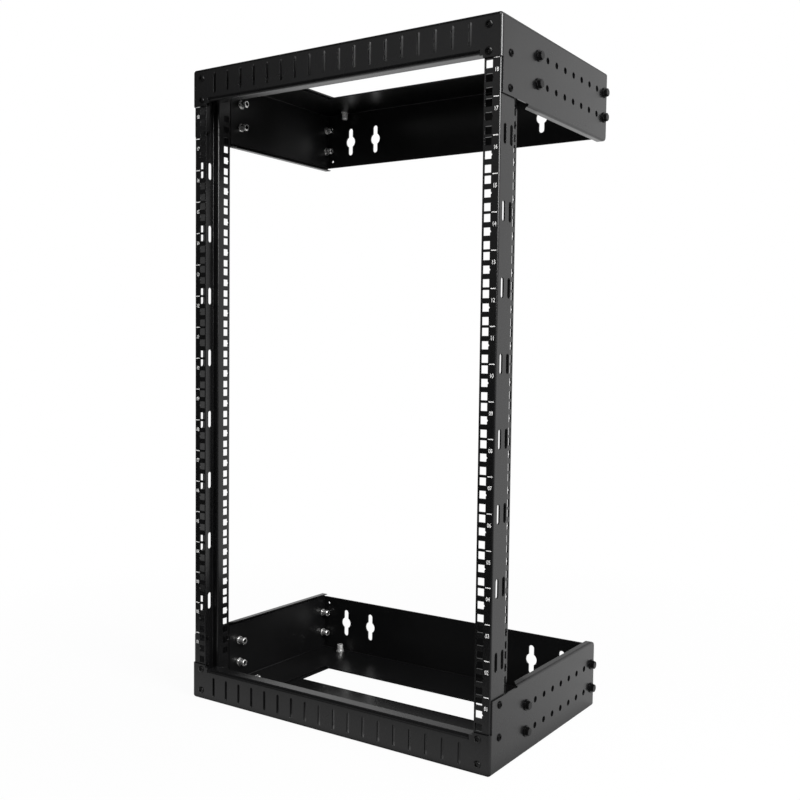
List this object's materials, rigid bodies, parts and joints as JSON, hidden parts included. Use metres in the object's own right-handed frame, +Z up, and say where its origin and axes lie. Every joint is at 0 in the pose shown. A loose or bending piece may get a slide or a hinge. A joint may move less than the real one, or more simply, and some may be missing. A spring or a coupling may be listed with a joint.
{
  "type": "wall-mount open frame rack",
  "caption": "Black open frame rack for a wall: square-hole rails between a top and a bottom tray whose rear parts bolt at several depths, with keyholes in the rear walls.",
  "frame": {"origin": "middle of the base, at the height of the underside of the lower tray", "axes": "+X to the right as seen from the front, +Y from the front panel to the wall, +Z up"},
  "size_m": [0.512, 0.3072, 0.9045],
  "materials": {
    "black_coat": "satin black powder coat with a fine texture",
    "black_fastener": "black oxide",
    "zinc": "bright zinc plate"
  },
  "bodies": {
    "root": {"rail_left": "black_coat", "rail_right": "black_coat", "front_tray_bottom": "black_coat", "rear_tray_bottom": "black_coat", "depth_bolts_bottom_left": "black_fastener", "depth_nuts_bottom_left": "zinc", "panel_screws_bottom_left": "black_fastener", "side_screws_bottom_left": "black_fastener", "depth_bolts_bottom_right": "black_fastener", "depth_nuts_bottom_right": "zinc", "panel_screws_bottom_right": "black_fastener", "side_screws_bottom_right": "black_fastener", "deck_bolts_bottom": "zinc", "deck_nuts_bottom": "zinc", "front_tray_top": "black_coat", "rear_tray_top": "black_coat", "depth_bolts_top_left": "black_fastener", "depth_nuts_top_left": "zinc", "panel_screws_top_left": "black_fastener", "side_screws_top_left": "black_fastener", "depth_bolts_top_right": "black_fastener", "depth_nuts_top_right": "zinc", "panel_screws_top_right": "black_fastener", "side_screws_top_right": "black_fastener", "deck_bolts_top": "zinc", "deck_nuts_top": "zinc"}
  },
  "joints": []
}
